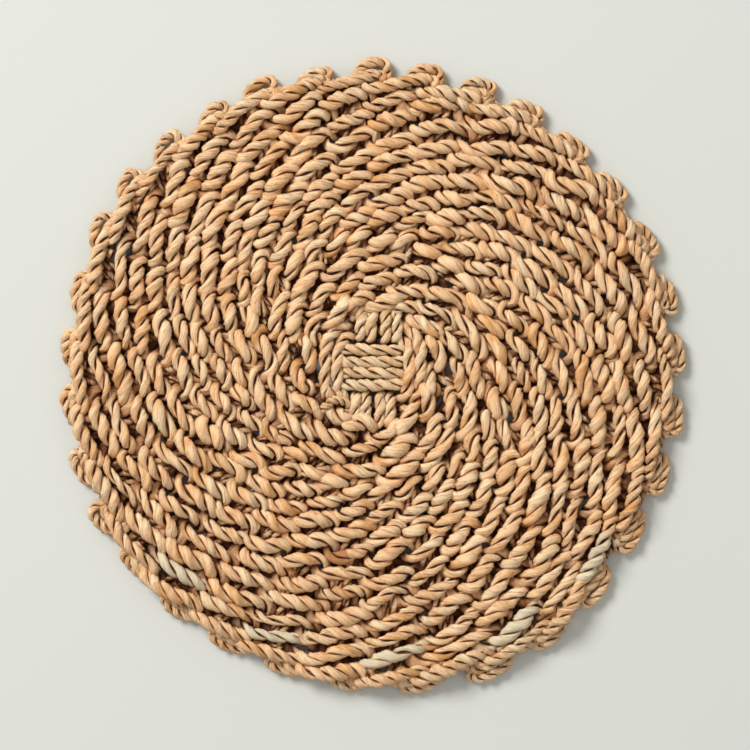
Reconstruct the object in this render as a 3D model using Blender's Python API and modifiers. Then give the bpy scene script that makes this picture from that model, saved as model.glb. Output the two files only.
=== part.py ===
"""Woven charger plate: a flat round mat of twined rope with a crossed centre and a rim of small loops.

Metres, +Z up. The mat lies on the plane z = 0 with its middle over the origin.
Bearings are in degrees, clockwise from the top of the mat (+Y), as on a clock face.
"""

import math

import bmesh
import bpy
from mathutils import Vector

# Rope and sheet
GAP = 0.0003
ROPE_WIDTH = 0.0061
ROPE_DEPTH = 0.0047
FLOOR = 0.0010
CREST = 0.0135
GROOVE = 0.0062
RIM_HEIGHT = 0.0075

# Binding rings round the cross, and the twined rings outside them
TIE_RINGS = (0.0218, 0.0292)
TIE_VALLEYS = (0.0182, 0.0256, 0.0345)
TIE_CREST = 0.0128
TIE_VALLEY = 0.0085
RINGS = 12
FIRST_RING = 0.0436
RING_PITCH = 0.0119
TWINED_RINGS = tuple(FIRST_RING + RING_PITCH * ring for ring in range(RINGS))
SHOULDER = 0.0022
RIM_RADIUS = 0.1803
RIM_FOOT = 0.0012

# The cross and the rings near it sit above the middle of the outline
CROSS_UP = 0.0045
CROSS_FADE = 0.150

# Stitches
SPOKES = 32
STITCHES_IN_RING = (8, 16, 16)
COLUMNS_PER_SPOKE = 3
STITCH_LEAN = 0.25
STITCH_LIFT = 0.42
SHARP_FROM = 60.0

# The spokes stand closer together on the left of the mat than on the right
DRIFT_MEAN = 6.2
DRIFT_SWING = 4.8
DRIFT_BEARING = 70.0

# One more short ring widens the lower right
BULGE_BEARING = 156.0
BULGE_WIDTH = 34.0
BULGE_REACH = 0.0078
BULGE_START = 0.110

# Gaps cut through between rings: the ring inside the gap, its length and width, how many there are
GAPS_BETWEEN = (
    {"ring": 0, "count": 8, "length": 0.0085, "width": 0.0048},
    {"ring": 2, "count": 16, "length": 0.0095, "width": 0.0050},
)
GAP_SIDES = 6
GAP_SHIFT = 0.0005

# The crossed ropes in the middle
ACROSS_ROPES = 4
ACROSS_PITCH = 0.0070
ACROSS_HALF = 0.0175
DOWN_PLACES = (-0.0087, -0.0023, 0.0059, 0.0123)
DOWN_HALF = 0.0310
DOWN_LEAN = 4.6
DOWN_LOW = FLOOR + GAP + ROPE_WIDTH / 2
DOWN_HIGH = 0.0104
DOWN_RISE_FROM = 0.0135
DOWN_RISE_TO = 0.0210
ACROSS_HEIGHT = DOWN_LOW + ROPE_WIDTH + GAP
ARM_FLOOR = DOWN_HIGH - ROPE_WIDTH / 2 - GAP
ACROSS_FLOOR = ACROSS_HEIGHT - ROPE_WIDTH / 2 - GAP
CENTRE_LAY = 0.0132
CENTRE_STEP = 0.0024

# Border loops: where each one peaks and how far out it reaches there
LOOPS = (
    {"bearing": 10.0, "reach": 0.1905},
    {"bearing": 20.0, "reach": 0.1914},
    {"bearing": 30.0, "reach": 0.1900},
    {"bearing": 41.0, "reach": 0.1872},
    {"bearing": 52.0, "reach": 0.1878},
    {"bearing": 63.0, "reach": 0.1875},
    {"bearing": 75.0, "reach": 0.1893},
    {"bearing": 86.0, "reach": 0.1881},
    {"bearing": 98.0, "reach": 0.1890},
    {"bearing": 109.0, "reach": 0.1887},
    {"bearing": 121.0, "reach": 0.1890},
    {"bearing": 134.0, "reach": 0.1924},
    {"bearing": 145.5, "reach": 0.1954},
    {"bearing": 158.0, "reach": 0.1972},
    {"bearing": 171.0, "reach": 0.1936},
    {"bearing": 184.0, "reach": 0.1905},
    {"bearing": 196.0, "reach": 0.1872},
    {"bearing": 209.0, "reach": 0.1887},
    {"bearing": 220.0, "reach": 0.1887},
    {"bearing": 231.5, "reach": 0.1878},
    {"bearing": 241.5, "reach": 0.1911},
    {"bearing": 252.5, "reach": 0.1900},
    {"bearing": 264.0, "reach": 0.1878},
    {"bearing": 275.0, "reach": 0.1884},
    {"bearing": 286.0, "reach": 0.1893},
    {"bearing": 298.0, "reach": 0.1933},
    {"bearing": 307.5, "reach": 0.1941},
    {"bearing": 318.0, "reach": 0.1924},
    {"bearing": 328.0, "reach": 0.1905},
    {"bearing": 338.0, "reach": 0.1920},
    {"bearing": 349.0, "reach": 0.1881},
    {"bearing": 359.0, "reach": 0.1914},
)
LOOP_INSET = 2.4
LOOP_SKEW = 1.2
LOOP_STEPS = 9
LOOP_LAY = 0.0180
LOOP_HEIGHT = 0.0031
LOOP_LEAST_RISE = 0.0048

STRAW = (0.60, 0.40, 0.22)
PALE_STRAW = (0.70, 0.51, 0.30)
TAN_STRAW = (0.55, 0.35, 0.18)


def clear_scene():
    for old in list(bpy.data.objects):
        bpy.data.objects.remove(old, do_unlink=True)


def new_collection(name):
    collection = bpy.data.collections.new(name)
    bpy.context.scene.collection.children.link(collection)
    return collection


def straw_material(name, colour):
    material = bpy.data.materials.new(name)
    material.use_nodes = True
    shader = material.node_tree.nodes["Principled BSDF"]
    shader.inputs["Base Color"].default_value = (*colour, 1.0)
    shader.inputs["Roughness"].default_value = 0.8
    shader.inputs["Metallic"].default_value = 0.0
    return material


def on_mat(bearing, radius, height=0.0):
    """The point at a bearing and a distance from the middle of its ring."""
    turn = math.radians(bearing)
    up = CROSS_UP * max(1.0 - radius / CROSS_FADE, 0.0)
    return Vector((radius * math.sin(turn), radius * math.cos(turn) + up, height))


def bearing_of(point):
    return math.degrees(math.atan2(point.x, point.y)) % 360.0


def drifted(even_bearing):
    """Where an evenly spaced bearing lies among the unevenly spaced spokes."""
    return even_bearing + DRIFT_MEAN - DRIFT_SWING * math.cos(math.radians(even_bearing - DRIFT_BEARING))


def bulge_at(bearing):
    """The share of the full bulge at a bearing, from 0 to 1."""
    away = abs((bearing - BULGE_BEARING + 180.0) % 360.0 - 180.0)
    if away > BULGE_WIDTH:
        return 0.0
    return 0.5 + 0.5 * math.cos(math.pi * away / BULGE_WIDTH)


def bulged(radius, bearing):
    """A radius moved out where the short extra ring widens the mat."""
    if radius < BULGE_START:
        return radius
    share = (radius - BULGE_START) / (RIM_RADIUS - BULGE_START)
    return radius + BULGE_REACH * share * bulge_at(bearing)


def profile_of_round():
    """The round's half section from the top of its middle, over the rings, to the middle of its underside."""
    profile = [(0.0, TIE_VALLEY)]
    for valley, crest in zip(TIE_VALLEYS, TIE_RINGS):
        profile.append((valley, TIE_VALLEY))
        profile.append((crest, TIE_CREST))
    profile.append((TIE_VALLEYS[-1], GROOVE))
    for ring, radius in enumerate(TWINED_RINGS):
        profile.append((radius - SHOULDER, CREST))
        profile.append((radius + SHOULDER, CREST))
        if ring + 1 < len(TWINED_RINGS):
            profile.append(((radius + TWINED_RINGS[ring + 1]) / 2, GROOVE))
    profile.append((RIM_RADIUS, RIM_HEIGHT))
    profile.append((RIM_RADIUS - RIM_FOOT, 0.0))
    profile.append((0.0, 0.0))
    return profile


def stitch_height(radius, even_bearing, height):
    """The top's height where the stitches of a twined ring lean across it and dip between spokes."""
    ring = min(range(len(TWINED_RINGS)), key=lambda i: abs(TWINED_RINGS[i] - radius))
    across = (radius - TWINED_RINGS[ring]) / SHOULDER
    stitches = STITCHES_IN_RING[ring] if ring < len(STITCHES_IN_RING) else SPOKES
    phase = even_bearing * stitches / 360.0 - STITCH_LEAN * across
    dip = (1.0 - math.cos(2.0 * math.pi * phase)) / 2.0
    return height - STITCH_LIFT * (CREST - GROOVE) * dip


def turned_round(collection, material):
    """The mat's plain round, turned from its section, with its points then raised into stitches."""
    guide_mesh = bpy.data.meshes.new("round_section")
    profile = profile_of_round()
    points = [(radius, 0.0, height) for radius, height in profile]
    guide_mesh.from_pydata(points, [(i, i + 1) for i in range(len(points) - 1)], [])
    guide = bpy.data.objects.new("round_section", guide_mesh)
    collection.objects.link(guide)
    screw = guide.modifiers.new("turn", "SCREW")
    screw.axis = "Z"
    screw.angle = 2.0 * math.pi
    screw.steps = SPOKES * COLUMNS_PER_SPOKE
    screw.render_steps = screw.steps
    screw.use_merge_vertices = True
    screw.merge_threshold = 0.00002
    graph = bpy.context.evaluated_depsgraph_get()
    mesh = bpy.data.meshes.new_from_object(guide.evaluated_get(graph))
    bpy.data.objects.remove(guide)
    for vertex in mesh.vertices:
        radius = vertex.co.xy.length
        height = vertex.co.z
        even_bearing = bearing_of(vertex.co)
        if height > CREST - GAP and radius > TIE_VALLEYS[-1]:
            height = stitch_height(radius, even_bearing, height)
        bearing = drifted(even_bearing)
        vertex.co = on_mat(bearing, bulged(radius, bearing), height)
    mesh.name = "woven_body"
    mesh.materials.append(material)
    mesh.shade_smooth()
    mesh.set_sharp_from_angle(angle=math.radians(SHARP_FROM))
    body = bpy.data.objects.new("woven_body", mesh)
    collection.objects.link(body)
    return body


def box_cutter(name, collection, size, centre, turn=0.0):
    bpy.ops.mesh.primitive_cube_add(size=1.0)
    cutter = bpy.context.object
    cutter.name = name
    cutter.data.transform(((size[0], 0, 0, 0), (0, size[1], 0, 0), (0, 0, size[2], 0), (0, 0, 0, 1)))
    cutter.location = centre
    cutter.rotation_euler.z = turn
    move_to(cutter, collection)
    return cutter


def move_to(thing, collection):
    for old in list(thing.users_collection):
        old.objects.unlink(thing)
    collection.objects.link(thing)


def gap_cutter(collection):
    """All the gaps that are cut through between rings, as long six-sided pegs in one mesh."""
    mesh = bpy.data.meshes.new("gap_pegs")
    shape = bmesh.new()
    for row in GAPS_BETWEEN:
        radius = (TWINED_RINGS[row["ring"]] + TWINED_RINGS[row["ring"] + 1]) / 2 + GAP_SHIFT
        for place in range(row["count"]):
            made = bmesh.ops.create_cone(
                shape, cap_ends=True, segments=GAP_SIDES, radius1=0.5, radius2=0.5, depth=4.0 * CREST
            )
            bearing = drifted((place + 0.5) * 360.0 / row["count"])
            turn = math.radians(bearing)
            centre = on_mat(bearing, radius)
            for vertex in made["verts"]:
                along = vertex.co.x * row["length"]
                outward = vertex.co.y * row["width"] / math.cos(math.pi / GAP_SIDES)
                vertex.co.x = centre.x + along * math.cos(turn) + outward * math.sin(turn)
                vertex.co.y = centre.y - along * math.sin(turn) + outward * math.cos(turn)
    shape.to_mesh(mesh)
    shape.free()
    cutter = bpy.data.objects.new("gap_pegs", mesh)
    collection.objects.link(cutter)
    return cutter


def cut(target, cutter):
    cutter.hide_render = True
    cutter.display_type = "WIRE"
    boolean = target.modifiers.new("cut_" + cutter.name, "BOOLEAN")
    boolean.operation = "DIFFERENCE"
    boolean.object = cutter


def woven_body(parts, cutters, material):
    body = turned_round(parts, material)
    lean = -math.radians(DOWN_LEAN)
    down_middle = (DOWN_PLACES[0] + DOWN_PLACES[-1]) / 2
    down_width = DOWN_PLACES[-1] - DOWN_PLACES[0] + ROPE_WIDTH + 2 * GAP
    tall = 2.0 * CREST
    low_well = (down_width, 2 * DOWN_RISE_TO, tall)
    arm_well = (down_width, 2 * (DOWN_HALF + GAP), tall)
    across_well = (2 * (ACROSS_HALF + GAP), (ACROSS_ROPES - 1) * ACROSS_PITCH + ROPE_WIDTH + 2 * GAP, tall)
    cut(body, box_cutter("low_well", cutters, low_well, (down_middle, CROSS_UP, FLOOR + CREST), lean))
    cut(body, box_cutter("arm_well", cutters, arm_well, (down_middle, CROSS_UP, ARM_FLOOR + CREST), lean))
    cut(body, box_cutter("across_well", cutters, across_well, (0, CROSS_UP, ACROSS_FLOOR + CREST)))
    cut(body, gap_cutter(cutters))
    return body


def rope_section(cutters):
    """The section of a rope of two plies: flatter across the plies than along them, and nipped between."""
    curve = bpy.data.curves.new("rope_section", "CURVE")
    curve.dimensions = "2D"
    spline = curve.splines.new("POLY")
    half_width = ROPE_WIDTH / 2
    half_depth = ROPE_DEPTH / 2
    outline = (
        (half_width, 0.0),
        (half_width * 0.5, -half_depth),
        (-half_width * 0.5, -half_depth),
        (-half_width, 0.0),
        (-half_width * 0.5, half_depth),
        (half_width * 0.5, half_depth),
    )
    spline.points.add(len(outline) - 1)
    for point, (x, y) in zip(spline.points, outline):
        point.co = (x, y, 0.0, 1.0)
    spline.use_cyclic_u = True
    section = bpy.data.objects.new("rope_section", curve)
    section.hide_render = True
    section.display_type = "WIRE"
    cutters.objects.link(section)
    return section


def rope(name, parts, material, section, path, lay):
    """A short rope along a path, its section turning once in each lay."""
    curve = bpy.data.curves.new(name, "CURVE")
    curve.dimensions = "3D"
    curve.twist_mode = "Z_UP"
    curve.bevel_mode = "OBJECT"
    curve.bevel_object = section
    curve.use_fill_caps = True
    spline = curve.splines.new("POLY")
    spline.points.add(len(path) - 1)
    run = 0.0
    for index, place in enumerate(path):
        if index:
            run += (place - path[index - 1]).length
        spline.points[index].co = (*place, 1.0)
        spline.points[index].tilt = 2.0 * math.pi * run / lay
    curve.materials.append(material)
    made = bpy.data.objects.new(name, curve)
    parts.objects.link(made)
    return made


def across_ropes(parts, material, section):
    steps = round(2 * ACROSS_HALF / CENTRE_STEP)
    for place in range(ACROSS_ROPES):
        y = CROSS_UP + ((ACROSS_ROPES - 1) / 2 - place) * ACROSS_PITCH
        path = [Vector((ACROSS_HALF * (2 * i / steps - 1), y, ACROSS_HEIGHT)) for i in range(steps + 1)]
        rope("centre_rope_across_" + str(place + 1), parts, material, section, path, CENTRE_LAY)


def down_rope_height(along):
    """A down rope runs low beneath the across ropes and rises over the binding rings at both ends."""
    share = (abs(along) - DOWN_RISE_FROM) / (DOWN_RISE_TO - DOWN_RISE_FROM)
    share = min(max(share, 0.0), 1.0)
    return DOWN_LOW + (DOWN_HIGH - DOWN_LOW) * share * share * (3.0 - 2.0 * share)


def down_ropes(parts, material, section):
    steps = round(2 * DOWN_HALF / CENTRE_STEP)
    middle = (DOWN_PLACES[0] + DOWN_PLACES[-1]) / 2
    lean = math.radians(DOWN_LEAN)
    for place, x in enumerate(DOWN_PLACES):
        path = []
        for i in range(steps + 1):
            along = DOWN_HALF * (2 * i / steps - 1)
            side = x - middle
            leaning_x = middle + side * math.cos(lean) + along * math.sin(lean)
            leaning_y = CROSS_UP + along * math.cos(lean) - side * math.sin(lean)
            path.append(Vector((leaning_x, leaning_y, down_rope_height(along))))
        rope("centre_rope_down_" + str(place + 1), parts, material, section, path, CENTRE_LAY)


def border_loops(parts, material, section):
    """Each spoke's end, bent over to the next spoke."""
    for number, loop in enumerate(LOOPS):
        peak = loop["bearing"]
        before = LOOPS[number - 1]["bearing"] - (360.0 if number == 0 else 0.0)
        after = LOOPS[(number + 1) % len(LOOPS)]["bearing"] + (360.0 if number + 1 == len(LOOPS) else 0.0)
        left = (before + peak) / 2 + LOOP_INSET
        right = (peak + after) / 2 - LOOP_INSET
        path = []
        for step in range(LOOP_STEPS + 1):
            turn = math.pi * step / LOOP_STEPS
            bearing = (left + right) / 2 - (right - left) / 2 * math.cos(turn) + LOOP_SKEW * math.sin(turn) ** 4
            foot = bulged(RIM_RADIUS, bearing) + 2 * GAP
            rise = max(loop["reach"] - ROPE_WIDTH / 2 - foot, LOOP_LEAST_RISE)
            path.append(on_mat(bearing, foot + rise * math.sin(turn), LOOP_HEIGHT))
        rope("border_loop_" + str(number + 1).zfill(2), parts, material, section, path, LOOP_LAY)


def main():
    clear_scene()
    parts = new_collection("woven_charger_plate")
    cutters = new_collection("cutters")
    section = rope_section(cutters)
    woven_body(parts, cutters, straw_material("woven_straw", STRAW))
    across_ropes(parts, straw_material("centre_straw", PALE_STRAW), section)
    down_ropes(parts, straw_material("cross_straw", STRAW), section)
    border_loops(parts, straw_material("border_straw", TAN_STRAW), section)


main()
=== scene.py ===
"""Looks of the woven charger plate: ropes of two twisted plies of straw, laid the way a maker twines them.

Metres, +Z up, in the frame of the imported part. Bearings are in degrees, clockwise from the top
of the mat (+Y).
"""

import math

import bpy
import numpy as np
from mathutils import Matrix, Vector


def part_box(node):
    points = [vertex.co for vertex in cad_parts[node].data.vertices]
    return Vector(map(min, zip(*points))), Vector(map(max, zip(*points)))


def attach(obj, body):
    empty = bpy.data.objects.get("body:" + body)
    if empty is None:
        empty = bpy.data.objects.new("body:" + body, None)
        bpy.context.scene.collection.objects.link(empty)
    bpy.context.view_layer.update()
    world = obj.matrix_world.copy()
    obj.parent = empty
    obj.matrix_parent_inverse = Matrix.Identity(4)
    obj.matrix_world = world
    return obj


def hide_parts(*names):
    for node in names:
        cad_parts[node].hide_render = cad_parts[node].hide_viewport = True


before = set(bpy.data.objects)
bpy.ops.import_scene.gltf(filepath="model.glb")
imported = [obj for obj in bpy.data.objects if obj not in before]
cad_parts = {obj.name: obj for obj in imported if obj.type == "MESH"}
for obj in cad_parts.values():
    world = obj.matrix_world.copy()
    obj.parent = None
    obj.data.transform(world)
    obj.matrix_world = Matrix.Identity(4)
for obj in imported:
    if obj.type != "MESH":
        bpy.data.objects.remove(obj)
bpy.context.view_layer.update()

# Rope and plies; the ply sizes are shares of the rope's width
ROPE = 0.0081
PLY_OUT = 0.268
PLY_DEPTH = 0.300
PLY_BREADTH = 0.375
PLY_SWELL = 0.07
LUMP_RUN = 0.009
LUMP = 0.12
BULGE_RUN = 0.03
BULGE = 0.07
LOOSE_TWIST = 0.50
PLIES_EVERY = 0.0105
OUTER_PLIES_EVERY = 0.0085
WEAVER_LAY = 0.0205
WEAVER_SIDES = 9
WEAVER_STEP = 0.00125
CREASE = 0.150
CREASE_RUN = 0.0062
CREASE_LEAST = -0.22
CREASE_MOST = 0.18

# The mat's middle layer, where the spokes lie, and how far the weavers rise over them
MIDDLE = 0.0075
RISE = 0.0038
SWAY = 0.0039
PLATEAU = 0.62
SHORTENED = 0.10

# A weaver is fat on top of a spoke, pinched where it dives and pressed wide and flat beneath
FAT = 1.10
PINCHED = 0.94
PRESSED = 1.80
PRESSED_WIDE = 1.50
OUTER_PRESSED = 1.10
FLAT = 0.72
WIDE_GAP = 1.5

# Width of a weaver: slimmer in the outermost row and the inner rows, a little broader over wide gaps
OUTER_SLIM = 0.14
INNER_SHARE = 0.94
INNER_SLIM_FROM_TO = (0.045, 0.110)
WIDE_GAIN = 0.03
WIDTH_SCATTER = 0.12

# Hand-made unevenness from stitch to stitch
STITCHES = 400
CROSSING_SCATTER = 0.09
ROW_SCATTER = 0.0010
SWAY_SCATTER = 0.32
RISE_SCATTER = 0.20
RISE_LEAST = -0.30
RISE_MOST = 0.26
TWIST_SCATTER = 0.45

# The outermost row lies straighter and higher; the outer end is tucked inwards and down
OUTERMOST_FROM_TO = (0.9, 1.1)
OUTER_LESS_SWAY = 0.0014
OUTER_UP = 0.0008
WIDE_LESS_SWAY = 0.0002
END_INWARDS = 0.0100
END_DOWN = 0.0045
END_LESS_RISE = 0.5

# Steps along a weaver, and the painted shade beneath a spoke
SPARE_LENGTH = 1.12
LEAST_STEPS = 12
UNDER_SHADE = 0.34
UNDER_SHADE_TO = 0.7

# The cross sits a little above the middle of the outline, and the rows grow concentric outwards
CROSS_UP = 0.0045
CROSS_FADE = 0.150

# Twined rows: one pair of weavers in a spiral from the rim inwards
SPOKES = 32
OUTER_END = 128.0
ROUNDS = 12.33
OUTER_RADIUS = 0.1830
ROW_PITCH = 0.0122
ROWS_UP = 0.0008
ROWS_RIGHT = 0.0011
SINGLE_SPOKES_TO = 9.27
SPOKE_PAIRS_TO = 11.22
END_RUN = 12.0

# How far the outermost, middle and inner rows stray from an even spiral, by bearing
OUTER_ROWS_FROM_TO = (0.160, 0.176)
INNER_ROWS_FROM_TO = (0.066, 0.082)
STRAY_AT = (0.0, 45.0, 90.0, 120.0, 150.0, 180.0, 225.0, 270.0, 300.0)
STRAY_OUTER = (-0.0010, 0.0004, 0.0018, -0.0010, 0.0016, -0.0004, -0.0030, -0.0014, 0.0022)
STRAY_MIDDLE = (0.0024, 0.0020, 0.0018, 0.0020, 0.0024, 0.0026, 0.0004, 0.0, 0.0010)
STRAY_INNER = (-0.0010, -0.0012, -0.0008, 0.0004, 0.0018, 0.0024, 0.0012, 0.0, -0.0006)

# The spokes stand closer together on one side of the mat
DRIFT_MEAN = 6.2
DRIFT_SWING = 4.8
DRIFT_BEARING = 70.0

# Strands that differ in colour: rounds from the outer end, weaver, and how far they are bleached
# (reddened below 0)
ODD_STRANDS = (
    {"from": 0.99, "to": 1.30, "weaver": 0, "tint": 1.0},
    {"from": 6.165, "to": 6.195, "weaver": 1, "tint": -1.0},
)

SEED = 11

# Grid on which the depth below the upper surface is worked out, for the painted shade down in the weave
CELL = 0.001
CELLS = 440
NEARBY = 0.0035
DEEP_FROM = 0.0034
DEEP_TO = 0.0088
RIM_FROM = 0.174
RIM_TO = 0.181
BOTTOM_FROM = 0.0004
BOTTOM_TO = 0.0026


def even_to_true(even_bearing):
    """Where an evenly spaced bearing lies among the unevenly spaced spokes."""
    return even_bearing + DRIFT_MEAN - DRIFT_SWING * np.cos(np.radians(even_bearing - DRIFT_BEARING))


def on_mat(bearing, radius, height):
    """Points at bearings and radii, their centre rising towards the cross."""
    turn = np.radians(bearing)
    up = CROSS_UP * np.clip(1.0 - radius / CROSS_FADE, 0.0, 1.0)
    x = radius * np.sin(turn)
    y = radius * np.cos(turn) + up
    return np.stack(np.broadcast_arrays(x, y, height), axis=-1)


def ease_between(value, low, high):
    """0 below low, 1 above high and smooth between."""
    share = np.clip((value - low) / (high - low), 0.0, 1.0)
    return share * share * (3.0 - 2.0 * share)


def smooth_random(rng, where, count, spread):
    """A wandering value that repeats after count units of where, with that spread."""
    values = rng.normal(0.0, spread, count)
    low = np.floor(where).astype(int)
    share = where - low
    share = share * share * (3.0 - 2.0 * share)
    return values[low % count] * (1.0 - share) + values[(low + 1) % count] * share


class Strands:
    """Gathers the plies of one piece, then makes one mesh of them."""

    def __init__(self, name, seed):
        self.name = name
        self.rng = np.random.default_rng(SEED * 1000 + seed)
        self.points = []
        self.quads = []
        self.caps = []
        self.uvs = []
        self.tints = []
        self.shades = []
        self.count = 0

    def rope(
        self,
        path,
        closed=False,
        width=ROPE,
        lay=WEAVER_LAY,
        sides=WEAVER_SIDES,
        twist=None,
        broad=1.0,
        flat=1.0,
        tint=0.0,
        shade=0.0,
    ):
        """A rope of two plies along a path; broad and flat squeeze it sideways and in height."""
        path = np.asarray(path, float)
        n = len(path)
        ahead = np.roll(path, -1, axis=0)
        behind = np.roll(path, 1, axis=0)
        if not closed:
            ahead[-1] = path[-1]
            behind[0] = path[0]
        tangent = ahead - behind
        tangent /= np.linalg.norm(tangent, axis=1)[:, None]
        steps = np.linalg.norm(np.diff(path, axis=0), axis=1)
        run = np.concatenate([[0.0], np.cumsum(steps)])
        length = run[-1] + (np.linalg.norm(path[0] - path[-1]) if closed else 0.0)
        up = np.array([0.0, 0.0, 1.0]) - tangent * tangent[:, 2:3]
        up /= np.linalg.norm(up, axis=1)[:, None]
        side = np.cross(tangent, up)
        turns = length / lay
        if closed:
            turns = max(1, round(turns))
        bulges = max(3, round(length / BULGE_RUN))
        if twist is None:
            twist = self.rng.uniform(0.0, 2.0 * math.pi) + 2.0 * math.pi * turns * run / length
            twist += smooth_random(self.rng, run / length * bulges, bulges, LOOSE_TWIST)
        for ply in range(2):
            angle = twist + math.pi * ply
            outward = np.cos(angle)[:, None] * up + np.sin(angle)[:, None] * side
            across = -np.sin(angle)[:, None] * up + np.cos(angle)[:, None] * side
            lumps = max(3, round(length / LUMP_RUN))
            swell = 1.0 + smooth_random(self.rng, run / length * lumps, lumps, LUMP)
            swell = swell + smooth_random(self.rng, run / length * bulges, bulges, BULGE)
            swell = swell + PLY_SWELL * np.cos(2.0 * angle)
            even_width = np.broadcast_to(width, (n,))
            wide = even_width * swell
            offset = outward * (PLY_OUT * even_width)[:, None]
            squeeze = (
                up * np.broadcast_to(flat - 1.0, (n,))[:, None],
                side * np.broadcast_to(broad - 1.0, (n,))[:, None],
            )
            frames = (path, offset, outward, across, up, side, squeeze)
            self.tube(frames, wide * PLY_DEPTH, wide * PLY_BREADTH, run, closed, sides)
            self.tints.append(np.repeat(np.broadcast_to(tint, (n,)), sides))
            self.shades.append(np.repeat(np.broadcast_to(shade, (n,)), sides))

    def tube(self, frames, depth, breadth, run, closed, sides):
        """One ply: rings of points round its own line, creased, squeezed and kept off the floor."""
        path, offset, outward, across, up, side, squeeze = frames
        n = len(path)
        round_it = math.pi + 2.0 * math.pi * np.arange(sides) / sides
        folds = max(3, round(run[-1] / CREASE_RUN))
        where = run / (run[-1] + 1e-9) * folds
        crease = np.stack([smooth_random(self.rng, where, folds, CREASE) for _ in range(sides)], axis=-1)
        reach = 1.0 + np.clip(crease, CREASE_LEAST, CREASE_MOST)
        ring = (
            outward[:, None, :] * (np.cos(round_it)[None, :] * reach * depth[:, None])[:, :, None]
            + across[:, None, :] * (np.sin(round_it)[None, :] * reach * breadth[:, None])[:, :, None]
        )
        ring = ring + offset[:, None, :]
        for axis, more in zip((up, side), squeeze):
            ring = ring + more[:, None, :] * np.sum(ring * axis[:, None, :], axis=-1)[:, :, None]
        points = (path[:, None, :] + ring).reshape(-1, 3)
        points[:, 2] = np.maximum(points[:, 2], 0.0)
        spans = n if closed else n - 1
        i = np.arange(spans)[:, None]
        j = np.arange(sides)[None, :]
        after = (i + 1) % n
        beside = (j + 1) % sides
        quads = np.stack(
            np.broadcast_arrays(
                i * sides + j, i * sides + beside, after * sides + beside, after * sides + j
            ),
            axis=-1,
        ).reshape(-1, 4)
        shift = self.rng.uniform(0.0, 50.0)
        last = run[-1] + (run[-1] - run[-2])
        here = run[:spans]
        there = np.append(run[1:], last)[:spans]
        u = np.stack([here, here, there, there], axis=-1)[:, None]
        v = np.stack([j / sides, (j + 1) / sides, (j + 1) / sides, j / sides], axis=-1)
        uv = np.stack(np.broadcast_arrays(u + shift, v), axis=-1).reshape(-1, 2)
        self.points.append(points)
        self.quads.append(quads + self.count)
        self.uvs.append(uv)
        if not closed:
            self.caps.append(self.count + np.arange(sides)[::-1])
            self.caps.append(self.count + (n - 1) * sides + np.arange(sides))
        self.count += len(points)

    def ready(self, material, slot, *nodes):
        """Keeps what the piece is made of and which nodes it stands for until it is made."""
        self.becomes = (material, slot, nodes)
        return self

    def make(self, heights):
        """One mesh of all the plies, with its tint and the painted shade from how deep each point lies."""
        material, slot, nodes = self.becomes
        points = np.concatenate(self.points)
        quads = np.concatenate(self.quads)
        uvs = np.concatenate(self.uvs)
        caps = [list(map(int, cap)) for cap in self.caps]
        mesh = bpy.data.meshes.new(self.name)
        mesh.vertices.add(len(points))
        mesh.vertices.foreach_set("co", points.astype(np.float32).ravel())
        cap_corners = sum(map(len, caps))
        mesh.loops.add(quads.size + cap_corners)
        corners = np.concatenate([quads.ravel(), np.array(sum(caps, []), int)])
        mesh.loops.foreach_set("vertex_index", corners.astype(np.int32))
        mesh.polygons.add(len(quads) + len(caps))
        starts = np.concatenate(
            [np.arange(len(quads)) * 4, quads.size + np.cumsum([0] + [len(c) for c in caps])[: len(caps)]]
        )
        mesh.polygons.foreach_set("loop_start", starts.astype(np.int32))
        mesh.update(calc_edges=True)
        layer = mesh.uv_layers.new(name="rope")
        flat = np.zeros((len(corners), 2), np.float32)
        flat[: len(uvs)] = uvs
        layer.uv.foreach_set("vector", flat.ravel())
        # The under attribute holds the painted shade, from how deep each point lies below the straw around it
        # and beneath the spokes
        painted_shade = how_deep(points, heights, np.concatenate(self.shades))
        for word, values in (("tint", np.concatenate(self.tints)), ("under", painted_shade)):
            attribute = mesh.attributes.new(word, "FLOAT", "POINT")
            attribute.data.foreach_set("value", values.astype(np.float32))
        mesh.shade_smooth()
        mesh.materials.append(material)
        mesh.validate()
        piece = bpy.data.objects.new(self.name, mesh)
        bpy.context.scene.collection.objects.link(piece)
        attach(piece, "root")
        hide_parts(*nodes)
        return piece


def height_map(pieces):
    """The mat's upper surface on a grid, each cell as high as the highest straw near it."""
    top = np.zeros((CELLS, CELLS))
    for piece in pieces:
        points = np.concatenate(piece.points)
        column, row = cell_of(points)
        np.maximum.at(top, (row, column), points[:, 2])
    near = np.zeros_like(top)
    reach = round(NEARBY / CELL)
    for x in range(-reach, reach + 1):
        for y in range(-reach, reach + 1):
            if math.hypot(x, y) <= reach:
                near = np.maximum(near, np.roll(top, (y, x), axis=(0, 1)))
    return near


def cell_of(points):
    """The column and row of the grid cell that each point lies in."""
    spots = np.clip(np.rint(points[:, :2] / CELL).astype(int) + CELLS // 2, 0, CELLS - 1)
    return spots[:, 0], spots[:, 1]


def how_deep(points, heights, shades):
    """Painted shade: 1 where straw lies far below the surface around it or takes the painted shade beneath a
    spoke; rim and very bottom stay unshaded.
    """
    column, row = cell_of(points)
    below = heights[row, column] - points[:, 2]
    painted_shade = np.maximum(ease_between(below, DEEP_FROM, DEEP_TO), shades)
    inside = 1.0 - ease_between(np.hypot(points[:, 0], points[:, 1]), RIM_FROM, RIM_TO)
    return painted_shade * inside * ease_between(points[:, 2], BOTTOM_FROM, BOTTOM_TO)


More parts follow.
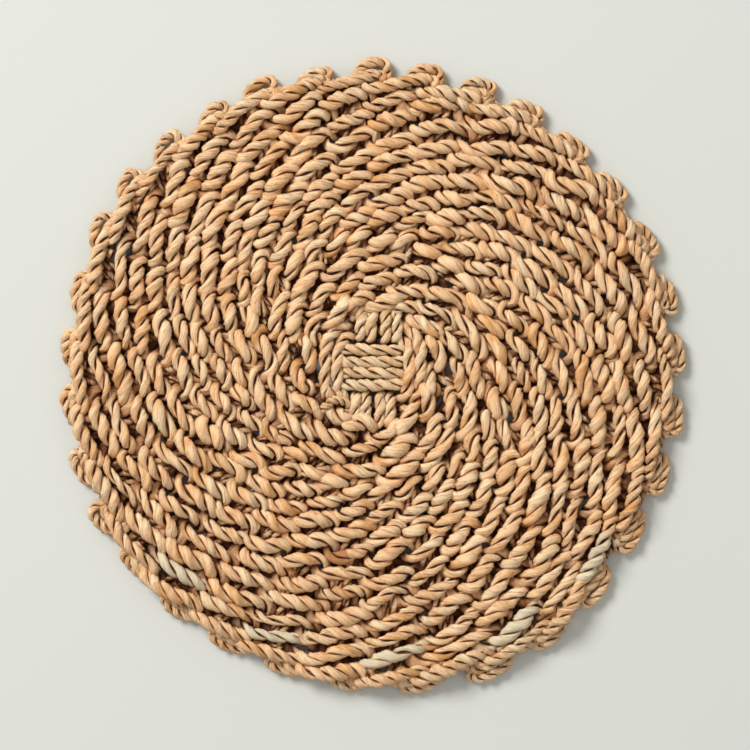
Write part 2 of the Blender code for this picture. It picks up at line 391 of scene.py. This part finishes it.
class Value:
    """A shader socket that can be used in sums."""

    def __init__(self, tree, socket):
        self.tree = tree
        self.socket = socket

    def maths(self, operation, first, second=0.0):
        return self.tree.node("ShaderNodeMath", {"operation": operation}, {0: first, 1: second})

    def __add__(self, other):
        return self.maths("ADD", self, other)

    def __radd__(self, other):
        return self.maths("ADD", other, self)

    def __sub__(self, other):
        return self.maths("SUBTRACT", self, other)

    def __rsub__(self, other):
        return self.maths("SUBTRACT", other, self)

    def __mul__(self, other):
        return self.maths("MULTIPLY", self, other)

    def __rmul__(self, other):
        return self.maths("MULTIPLY", other, self)

    def __abs__(self):
        return self.maths("ABSOLUTE", self)


class Finish:
    """A material and the few ways in which its nodes are made."""

    def __init__(self, name):
        self.material = bpy.data.materials.new(name)
        self.material.use_nodes = True
        self.nodes = self.material.node_tree.nodes
        self.links = self.material.node_tree.links
        self.shader = self.nodes["Principled BSDF"]

    def node(self, kind, settings, sockets, output=0):
        made = self.nodes.new(kind)
        for key, value in settings.items():
            if key == "stops":
                self.set_stops(made.color_ramp, value)
            else:
                setattr(made, key, value)
        for key, value in sockets.items():
            self.feed(made.inputs[key], value)
        return Value(self, made.outputs[output])

    def set_stops(self, ramp, stops):
        while len(ramp.elements) > len(stops):
            ramp.elements.remove(ramp.elements[-1])
        while len(ramp.elements) < len(stops):
            ramp.elements.new(1.0)
        for element, (place, colour) in zip(ramp.elements, stops):
            element.position = place
            element.color = (*colour, 1.0)

    def feed(self, socket, value):
        if isinstance(value, Value):
            self.links.new(value.socket, socket)
        elif hasattr(value, "__len__") and len(value) == 3 and socket.type == "RGBA":
            socket.default_value = (*value, 1.0)
        else:
            socket.default_value = value

    def mix(self, share, first, second):
        """One colour into another, in the Mix node's colour sockets."""
        return self.node("ShaderNodeMix", {"data_type": "RGBA"}, {0: share, 6: first, 7: second}, output=2)

    def ease(self, value, low, high):
        """0 below low, 1 above high and smooth between."""
        return self.node(
            "ShaderNodeMapRange",
            {"interpolation_type": "SMOOTHSTEP"},
            {"Value": value, "From Min": low, "From Max": high},
        )

    def noise(self, along, around, layer, detail, rough=0.5):
        """Soft noise along and around a ply; each layer is another stretch of the same noise."""
        place = self.node("ShaderNodeCombineXYZ", {}, {0: along, 1: around, 2: layer})
        sockets = {"Vector": place, "Scale": 1.0, "Detail": detail, "Roughness": rough}
        return self.node("ShaderNodeTexNoise", {}, sockets)


# Straw colours that aren't in the leaves' own tones, and the painted shade by which the brown darkens down in
# the weave and in the grooves between plies, by channel; the warm shade also colours dark fibre streaks and
# cracks
BLEACHED = (0.80, 0.70, 0.50)
REDDENED = (0.45, 0.16, 0.05)
WARM_SHADE = (0.42, 0.24, 0.07)
DARK_SHADE = (0.12, 0.05, 0.010)
NIP_SHADE = (0.20, 0.10, 0.04)


def darker(colour, shares):
    return tuple(channel * share for channel, share in zip(colour, shares))


def straw(name, pale, mid, brown):
    """Twisted leaves: fibres along each ply, tones that change from leaf to leaf, painted shade down in the
    weave and in the grooves between plies.
    """
    finish = Finish(name)
    uv = finish.node("ShaderNodeUVMap", {"uv_map": "rope"}, {})
    along = finish.node("ShaderNodeSeparateXYZ", {}, {0: uv})
    around = finish.node("ShaderNodeSeparateXYZ", {}, {0: uv}, output=1)
    # The under attribute: how much painted shade each point takes
    under = finish.node("ShaderNodeAttribute", {"attribute_name": "under"}, {}, output=2)
    tint = finish.node("ShaderNodeAttribute", {"attribute_name": "tint"}, {}, output=2)

    fibres = finish.noise(along * 110.0, around * 46.0, 0.0, 3.0, 0.6)
    veins = finish.noise(along * 34.0, around * 17.0, 3.0, 2.0)
    leaves = finish.noise(along * 30.0, 0.0, 7.0, 1.0)
    patches = finish.noise(along * 120.0, around * 2.2, 11.0, 2.0)
    cracks = finish.noise(along * 150.0, around * 20.0, 19.0, 1.0)

    stops = ((0.37, brown), (0.47, mid), (0.59, pale))
    tone = finish.node("ShaderNodeValToRGB", {"stops": stops}, {0: leaves * 0.60 + patches * 0.40})
    warm = darker(brown, WARM_SHADE)
    dark = darker(brown, DARK_SHADE)
    groove_shade_colour = darker(brown, NIP_SHADE)
    streaked = finish.mix(finish.ease(veins, 0.55, 0.68) * 0.70, tone, brown)
    streaked = finish.mix(finish.ease(fibres, 0.56, 0.78) * 0.50, streaked, pale)
    streaked = finish.mix(finish.ease(0.42 - fibres, 0.0, 0.10) * 0.42, streaked, warm)
    cracked = finish.ease(0.024 - abs(cracks - 0.5), 0.0, 0.018) * finish.ease(veins, 0.42, 0.55)
    streaked = finish.mix(cracked * 0.62, streaked, warm)
    streaked = finish.mix(finish.ease(tint, 0.1, 0.9) * 0.85, streaked, BLEACHED)
    streaked = finish.mix(finish.ease(0.0 - tint, 0.1, 0.9) * 0.8, streaked, REDDENED)
    # Painted shade in the groove between the two plies
    groove_shade = finish.ease(abs(around - 0.5), 0.335, 0.395)
    groove_shaded = finish.mix(groove_shade * 0.95, streaked, groove_shade_colour)
    # Painted shade down in the weave: warm brown first, near black where the straw lies deepest
    warm_shaded = finish.mix(finish.ease(under, 0.0, 0.55) * 0.75, groove_shaded, warm)
    shaded = finish.mix(finish.ease(under, 0.25, 0.95) * 0.96, warm_shaded, dark)

    relief = fibres * 0.6 + veins * 0.4 - cracked * 0.16
    bump = finish.node("ShaderNodeBump", {}, {"Height": relief, "Strength": 1.0, "Distance": 0.0011})
    finish.feed(finish.shader.inputs["Base Color"], shaded)
    finish.feed(finish.shader.inputs["Roughness"], 0.56 + fibres * 0.24)
    finish.feed(finish.shader.inputs["Normal"], bump)
    finish.shader.inputs["Specular IOR Level"].default_value = 0.35
    return finish.material


def stray(bearing, radius):
    """How far a row at that radius strays from an even spiral."""
    around = np.append(STRAY_AT, 360.0)
    outer, middle, inner = (
        np.interp(bearing % 360.0, around, np.append(row, row[0]))
        for row in (STRAY_OUTER, STRAY_MIDDLE, STRAY_INNER)
    )
    outwards = ease_between(radius, *OUTER_ROWS_FROM_TO)
    inwards = 1.0 - ease_between(radius, *INNER_ROWS_FROM_TO)
    return middle + (outer - middle) * outwards + (inner - middle) * inwards


def crossings():
    """The even bearings, unwrapped, where the weavers cross a spoke, from the outer end inwards."""
    start = OUTER_END - DRIFT_MEAN
    single = 360.0 / SPOKES
    bearing = single * math.ceil(start / single)
    places = []
    while bearing < start + ROUNDS * 360.0:
        places.append(bearing)
        done = (bearing - start) / 360.0
        if done < SINGLE_SPOKES_TO or bearing % (2 * single) > 0.1:
            bearing += single
        elif done < SPOKE_PAIRS_TO:
            bearing += 2 * single
        else:
            bearing = 4 * single * math.floor(bearing / (4 * single)) + 5 * single
    return np.array(places)


def row_radius(bearing):
    """The radius of the spiral at an unwrapped bearing."""
    done = (bearing - OUTER_END) / 360.0
    turn = np.radians(bearing)
    radius = OUTER_RADIUS - ROW_PITCH * done + ROWS_UP * np.cos(turn) + ROWS_RIGHT * np.sin(turn)
    return radius + stray(bearing, radius)


def shape(turns, pressed):
    """How broad and how flat a weaver is over, between and under the spokes."""
    over = np.cos(math.pi * turns)
    under = np.clip(-over, 0.0, 1.0) ** 0.8
    broad = PINCHED + (FAT - PINCHED) * np.clip(over, 0.0, 1.0) ** 2 + (pressed - PINCHED) * under
    return broad, 1.0 - (1.0 - FLAT) * under


def tint_of(done, weaver):
    """How far each point of a weaver is bleached, or reddened below 0."""
    tint = np.zeros(len(done))
    for odd in ODD_STRANDS:
        if odd["weaver"] == weaver:
            tint[(done > odd["from"]) & (done < odd["to"])] = odd["tint"]
    return tint


def twined_round(number, first, last, places, material):
    """The stretch of both weavers between two crossings; each is joined where it lies under a spoke."""
    strands = Strands("twined_round_" + str(number).zfill(2), number)
    rng = strands.rng
    order = np.arange(len(places))
    every = OUTER_PLIES_EVERY if last <= SPOKES else PLIES_EVERY
    crossed = np.radians(np.diff(even_to_true(places))) * row_radius(even_to_true(places))[1:]
    plies_met = np.concatenate([[0], np.cumsum(np.maximum(np.rint(crossed / every), 1))])
    for lead in range(2):
        begin = first if first == 0 or (first + lead) % 2 else first + 1
        end = last if last == len(places) - 1 or (last + lead) % 2 else last + 1
        rough = row_radius(even_to_true(np.interp([begin, end], order, places))).mean()
        length = math.radians(places[end] - places[begin]) * rough * SPARE_LENGTH
        count = max((end - begin) * LEAST_STEPS, round(length / WEAVER_STEP))
        turns = np.linspace(begin, end, count)

        drift = smooth_random(np.random.default_rng(SEED + 5), turns, STITCHES, CROSSING_SCATTER)
        bearing = even_to_true(np.interp(turns + drift, order, places))
        done = (bearing - OUTER_END) / 360.0
        gap = np.interp(turns, order, np.gradient(places)) / (360.0 / SPOKES)
        outermost = 1.0 - ease_between(done, *OUTERMOST_FROM_TO)
        tucked = 1.0 - ease_between(bearing - bearing[0], 0.0, END_RUN) if first == 0 else np.zeros(count)

        row_rng = np.random.default_rng(SEED + 7)
        radius = row_radius(bearing) + smooth_random(row_rng, turns, STITCHES, ROW_SCATTER)
        sway = SWAY - OUTER_LESS_SWAY * outermost - WIDE_LESS_SWAY * (gap - 1.0)
        sway = sway * (1.0 + smooth_random(rng, turns, STITCHES, SWAY_SCATTER))
        uneven = smooth_random(rng, turns, STITCHES, RISE_SCATTER)
        rise = RISE * (1.0 + np.clip(uneven, RISE_LEAST, RISE_MOST))
        rise = rise * (1.0 - END_LESS_RISE * tucked)
        radius = radius - END_INWARDS * tucked
        height = MIDDLE - END_DOWN * tucked + OUTER_UP * outermost

        phase = math.pi * (turns + lead)
        over = np.cos(phase) - SHORTENED * (1.0 - outermost)
        over = np.sign(over) * np.abs(over) ** PLATEAU
        path = on_mat(bearing, radius + sway * np.sin(phase), height + rise * over)
        width = 1.0 + WIDE_GAIN * (gap - 1.0) - OUTER_SLIM * outermost
        width = ROPE * (width + smooth_random(rng, turns / 2.0, STITCHES // 2, WIDTH_SCATTER))
        width = width * (INNER_SHARE + (1.0 - INNER_SHARE) * ease_between(radius, *INNER_SLIM_FROM_TO))
        pressed = np.where(gap < WIDE_GAP, PRESSED + (OUTER_PRESSED - PRESSED) * outermost, PRESSED_WIDE)
        broad, flat = shape(turns + lead, pressed)
        # Painted shade where the weaver dives beneath a spoke, fading out in the outermost row
        shade = UNDER_SHADE * ease_between(-over, 0.0, UNDER_SHADE_TO) * (1.0 - outermost)
        twist = math.pi * np.interp(turns, order, plies_met)
        twist = twist + smooth_random(rng, turns, STITCHES, TWIST_SCATTER)
        tint = tint_of(done, lead)
        strands.rope(path, width=width, twist=twist, broad=broad, flat=flat, tint=tint, shade=shade)
    return strands.ready(material, "woven_straw", "woven_body")


def twined_rounds(material):
    """The whole spiral, one piece for each round of spokes."""
    places = crossings()
    rounds = []
    first = 0
    while first < len(places) - 1:
        last = min(first + SPOKES, len(places) - 1)
        rounds.append(twined_round(len(rounds) + 1, first, last, places, material))
        first = last
    return rounds


SPOKE_ROPE = 0.0052
SPOKE_APART = 0.0025
SPOKE_LAY = 0.0190
SPOKE_SIDES = 7
SPOKE_STEP = 0.0020
SPOKE_HEIGHT = 0.0066
SPOKE_SCATTER_RUN = 0.03
SPOKE_SCATTER = 0.0006
SPOKE_SETS = (
    {"count": 8, "first": 11.25, "from": 0.031, "to": 0.054, "apart": 0.0033},
    {"count": 16, "first": 0.0, "from": 0.048, "to": 0.179, "apart": SPOKE_APART},
    {"count": 16, "first": 11.25, "from": 0.070, "to": 0.179, "apart": SPOKE_APART},
)


def spoke_ropes(material):
    """Doubled spokes: sixteen from the second ring, sixteen more from the fourth, eight pairs inside them."""
    strands = Strands("spokes", 60)
    rng = strands.rng
    for row in SPOKE_SETS:
        for place in range(row["count"]):
            bearing = even_to_true(row["first"] + place * 360.0 / row["count"])
            steps = round((row["to"] - row["from"]) / SPOKE_STEP)
            radius = np.linspace(row["from"], row["to"], steps)
            line = on_mat(bearing, radius, SPOKE_HEIGHT)
            turn = math.radians(bearing)
            sideways = np.array([math.cos(turn), -math.sin(turn), 0.0])
            sway = smooth_random(rng, radius / SPOKE_SCATTER_RUN, 12, SPOKE_SCATTER)
            for side in (-1.0, 1.0):
                shift = side * row["apart"] + sway
                path = line + sideways * shift[:, None]
                strands.rope(path, width=SPOKE_ROPE, lay=SPOKE_LAY, sides=SPOKE_SIDES)
    return strands.ready(material, "woven_straw", "woven_body")


# The centre
CENTRE_ROPE = 0.0065
CENTRE_LAY = 0.0185
CENTRE_STEP = 0.0009
CENTRE_SIDES = 12
CENTRE_SCATTER_RUN = 0.012
CENTRE_SCATTER = 0.0003
BINDING = ({"half": 0.0218, "square": 3.0}, {"half": 0.0292, "square": 2.7})
BINDING_SWING = 0.0038
BINDING_ROPE = 0.0074
BINDING_SPARE_LENGTH = 1.15
BINDING_SCATTER = 0.0004

# The loose end that stands up beside the cross, at the lower left
LOOSE_END = (
    (-0.0312, -0.0232, 0.0080),
    (-0.0295, -0.0200, 0.0118),
    (-0.0262, -0.0165, 0.0140),
    (-0.0220, -0.0148, 0.0143),
    (-0.0180, -0.0156, 0.0128),
    (-0.0150, -0.0178, 0.0095),
)
LOOSE_END_ROPE = 0.0048
LOOSE_END_LAY = 0.0100
LOOSE_END_POINTS = 40

# How the centre ropes dip at their ends
ACROSS_DIP_FROM = 0.0150
ACROSS_DIP_TO = 0.0230
ACROSS_DIP = 0.0050
ARM_DIP_FROM = 0.0290
ARM_DIP_TO = 0.0370
ARM_DIP = 0.0050


def box_middle(node):
    """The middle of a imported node's box."""
    low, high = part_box(node)
    return (Vector(low) + Vector(high)) / 2


def across_ropes(material):
    """The four ropes on top in the middle, their ends dipping under the binding."""
    nodes = ["centre_rope_across_" + str(n) for n in range(1, 5)]
    strands = Strands("centre_ropes_across", 70)
    for node in nodes:
        middle = box_middle(node)
        x = np.arange(-ACROSS_DIP_TO, ACROSS_DIP_TO + CENTRE_STEP, CENTRE_STEP)
        z = middle.z - ACROSS_DIP * ease_between(np.abs(x), ACROSS_DIP_FROM, ACROSS_DIP_TO)
        y = middle.y + smooth_random(strands.rng, x / CENTRE_SCATTER_RUN + 10, 20, CENTRE_SCATTER)
        path = np.stack([x, y, z], axis=-1)
        strands.rope(path, width=CENTRE_ROPE, lay=CENTRE_LAY, sides=CENTRE_SIDES)
    return strands.ready(material, "centre_straw", *nodes)


DOWN_LOW = 0.0044
DOWN_HIGH = 0.0104
DOWN_RISE_FROM = 0.0142
DOWN_RISE_TO = 0.0210


def down_ropes(material):
    """The four ropes that cross beneath the others and rise over the binding on both sides."""
    nodes = ["centre_rope_down_" + str(n) for n in range(1, 5)]
    strands = Strands("centre_ropes_down", 71)
    for node in nodes:
        low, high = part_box(node)
        middle = box_middle(node)
        lean = (high[0] - low[0] - CENTRE_ROPE) / (high[1] - low[1])
        y = np.arange(-ARM_DIP_TO, ARM_DIP_TO + CENTRE_STEP, CENTRE_STEP)
        x = middle.x + lean * y + smooth_random(strands.rng, y / CENTRE_SCATTER_RUN + 10, 20, CENTRE_SCATTER)
        z = DOWN_LOW + (DOWN_HIGH - DOWN_LOW) * ease_between(np.abs(y), DOWN_RISE_FROM, DOWN_RISE_TO)
        z = z - ARM_DIP * ease_between(np.abs(y), ARM_DIP_FROM, ARM_DIP_TO)
        path = np.stack([x, y + middle.y, z], axis=-1)
        strands.rope(path, width=CENTRE_ROPE, lay=CENTRE_LAY, sides=CENTRE_SIDES)
    return strands.ready(material, "cross_straw", *nodes)


def binding_ropes(material):
    """Two rounds of rope that pass over the across ropes and under the down ropes."""
    strands = Strands("binding_ropes", 72)
    for row in BINDING:
        steps = round(2.0 * math.pi * row["half"] * BINDING_SPARE_LENGTH / WEAVER_STEP)
        bearing = np.arange(steps) * 360.0 / steps
        turn = np.radians(bearing)
        power = row["square"]
        squareness = np.abs(np.sin(turn)) ** power + np.abs(np.cos(turn)) ** power
        radius = row["half"] / squareness ** (1.0 / power)
        radius = radius + smooth_random(strands.rng, bearing / 30.0, 12, BINDING_SCATTER)
        swing = -np.cos(2.0 * turn)
        height = MIDDLE + BINDING_SWING * np.sign(swing) * np.abs(swing) ** PLATEAU
        strands.rope(on_mat(bearing, radius, height), closed=True, width=BINDING_ROPE)
    strands.rope(through(LOOSE_END, LOOSE_END_POINTS), width=LOOSE_END_ROPE, lay=LOOSE_END_LAY)
    return strands.ready(material, "woven_straw", "woven_body")


def through(points, count):
    """A smooth line through a few points."""
    points = np.asarray(points, float)
    padded = np.concatenate([[2 * points[0] - points[1]], points, [2 * points[-1] - points[-2]]])
    where = np.linspace(0.0, len(points) - 1 - 1e-9, count)
    low = where.astype(int)
    t = (where - low)[:, None]
    a, b, c, d = padded[low], padded[low + 1], padded[low + 2], padded[low + 3]
    return 0.5 * (2 * b + (c - a) * t + (2 * a - 5 * b + 4 * c - d) * t**2 + (3 * b - a - 3 * c + d) * t**3)


def evenly(line, step):
    """The same line with its points the same step apart."""
    run = np.concatenate([[0.0], np.cumsum(np.linalg.norm(np.diff(line, axis=0), axis=1))])
    even = np.linspace(0.0, run[-1], round(run[-1] / step))
    return np.stack([np.interp(even, run, line[:, axis]) for axis in range(3)], axis=-1)


# Border loops
LOOP_ROPE = 0.0059
LOOP_LAY = 0.0140
LOOP_SIDES = 10
LOOP_STEP = 0.0009
LOOP_HEIGHT = 0.0042
LOOP_ROOT = 0.0080
LOOP_SKEW = 1.3
LOOP_LEAST_RISE = 0.002
LOOP_ROUNDNESS = 0.8
LOOP_SCATTER = 0.25
ROOT_SCATTER = 0.2
ARC_POINTS = 60
ROOT_POINTS = 8
ROOT_RISE_FROM = -0.002

# The loop's second rope: from and to, beyond the loop's foot, and its height, width and spread
LOWER_FROM = -0.0026
LOWER_TO = 0.0010
LOWER_LIFT = 0.0016
LOWER_WIDTH = 0.92
LOWER_SPREAD = 0.90


def border_loops(material):
    """Each spoke's end bent over to the next spoke, with its second rope lying low across the loop's base."""
    nodes = ["border_loop_" + str(n).zfill(2) for n in range(1, SPOKES + 1)]
    strands = Strands("border_loops", 80)
    rng = strands.rng
    for node in nodes:
        points = np.array([v.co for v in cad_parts[node].data.vertices])
        radius = np.hypot(points[:, 0], points[:, 1])
        middle = points.mean(axis=0)
        facing = math.degrees(math.atan2(middle[0], middle[1]))
        bearing = np.degrees(np.arctan2(points[:, 0], points[:, 1]))
        bearing = facing + (bearing - facing + 180.0) % 360.0 - 180.0
        half = (bearing.max() - bearing.min()) / 2 - math.degrees(LOOP_ROPE / 2 / radius.mean())
        centre = (bearing.max() + bearing.min()) / 2
        foot = radius.min()
        for start, reach, lift, width, spread in (
            (foot, radius.max() - LOOP_ROPE / 2, 0.0, LOOP_ROPE, 1.0),
            (foot + LOWER_FROM, foot + LOWER_TO, LOWER_LIFT, LOOP_ROPE * LOWER_WIDTH, LOWER_SPREAD),
        ):
            rise = max(reach - start, LOOP_LEAST_RISE)
            t = np.linspace(0.0, math.pi, ARC_POINTS)
            skew = LOOP_SKEW * np.sin(t) ** 2 + rng.normal(0.0, LOOP_SCATTER)
            arc_bearing = centre - half * spread * np.cos(t) + skew * spread
            arc = on_mat(arc_bearing, start + rise * np.sin(t) ** LOOP_ROUNDNESS, LOOP_HEIGHT + lift)
            inwards = np.linspace(start, foot - LOOP_ROOT, ROOT_POINTS)[1:]
            left = on_mat(arc_bearing[0] + rng.normal(0.0, ROOT_SCATTER), inwards[::-1], LOOP_HEIGHT)
            right = on_mat(arc_bearing[-1] + rng.normal(0.0, ROOT_SCATTER), inwards, LOOP_HEIGHT)
            line = np.concatenate([left, arc, right])
            inside = ease_between(foot - np.hypot(line[:, 0], line[:, 1]), ROOT_RISE_FROM, LOOP_ROOT)
            line[:, 2] += (MIDDLE - LOOP_HEIGHT) * inside
            strands.rope(evenly(line, LOOP_STEP), width=width, lay=LOOP_LAY, sides=LOOP_SIDES)
    return strands.ready(material, "border_straw", *nodes)


FLOOR_COLOUR = (0.625, 0.640, 0.617, 1.0)
FLOOR_SIZE = 8.0
FLOOR_HEIGHT = -0.0002


def plain_floor():
    """A plain pale surface just under the mat."""
    finish = Finish("pale_floor")
    finish.shader.inputs["Base Color"].default_value = FLOOR_COLOUR
    finish.shader.inputs["Roughness"].default_value = 0.95
    finish.shader.inputs["Specular IOR Level"].default_value = 0.1
    bpy.ops.mesh.primitive_plane_add(size=FLOOR_SIZE, location=(0.0, 0.0, FLOOR_HEIGHT))
    floor = bpy.context.object
    floor.name = "floor"
    floor.data.materials.append(finish.material)


def area_light(name, place, size, power, colour):
    """A round soft light that faces the mat."""
    data = bpy.data.lights.new(name, "AREA")
    data.shape = "DISK"
    data.size = size
    data.energy = power
    data.color = colour
    light = bpy.data.objects.new(name, data)
    light.location = place
    light.rotation_mode = "QUATERNION"
    light.rotation_quaternion = (-Vector(place)).to_track_quat("-Z", "Y")
    bpy.context.scene.collection.objects.link(light)


# Name, place, size, power in watts and colour
AREA_LIGHTS = (
    ("key", (-2.10, 2.10, 2.75), 1.75, 162.0, (1.0, 0.99, 0.96)),
    ("fill", (1.2, -0.6, 1.9), 1.8, 3.0, (1.0, 0.98, 0.94)),
)
STUDIO_COLOUR = (1.0, 0.99, 0.93, 1.0)
STUDIO_STRENGTH = 0.50


def lights():
    """A key light from the upper left, a weak fill and a soft even studio all round."""
    for light in AREA_LIGHTS:
        area_light(*light)
    world = bpy.data.worlds.new("studio")
    world.use_nodes = True
    backdrop = world.node_tree.nodes["Background"]
    backdrop.inputs["Color"].default_value = STUDIO_COLOUR
    backdrop.inputs["Strength"].default_value = STUDIO_STRENGTH
    bpy.context.scene.world = world


# The camera's sensor in millimetres, and how wide it sees from how far in metres
SENSOR_WIDTH = 36.0
VIEW_WIDTH = 0.452
VIEW_AWAY = 1.8
VIEW_SHIFT_X = 0.0012


def camera():
    """Straight above the mat, as in the photo."""
    data = bpy.data.cameras.new("camera")
    data.sensor_width = SENSOR_WIDTH
    data.lens = data.sensor_width * VIEW_AWAY / VIEW_WIDTH
    eye = bpy.data.objects.new("camera", data)
    eye.location = (VIEW_SHIFT_X, 0.0, VIEW_AWAY)
    bpy.context.scene.collection.objects.link(eye)
    bpy.context.scene.camera = eye


camera()
woven_leaves = straw("woven_straw", (0.99, 0.735, 0.465), (0.98, 0.610, 0.335), (0.80, 0.405, 0.150))
centre_leaves = straw("centre_straw", (0.99, 0.765, 0.500), (0.96, 0.650, 0.380), (0.78, 0.450, 0.185))
laid = twined_rounds(woven_leaves)
laid += [spoke_ropes(woven_leaves), across_ropes(centre_leaves), down_ropes(centre_leaves)]
laid += [binding_ropes(woven_leaves), border_loops(woven_leaves)]
upper_surface = height_map(laid)
for strands in laid:
    strands.make(upper_surface)
plain_floor()
lights()
bpy.context.scene.view_settings.view_transform = "Standard"
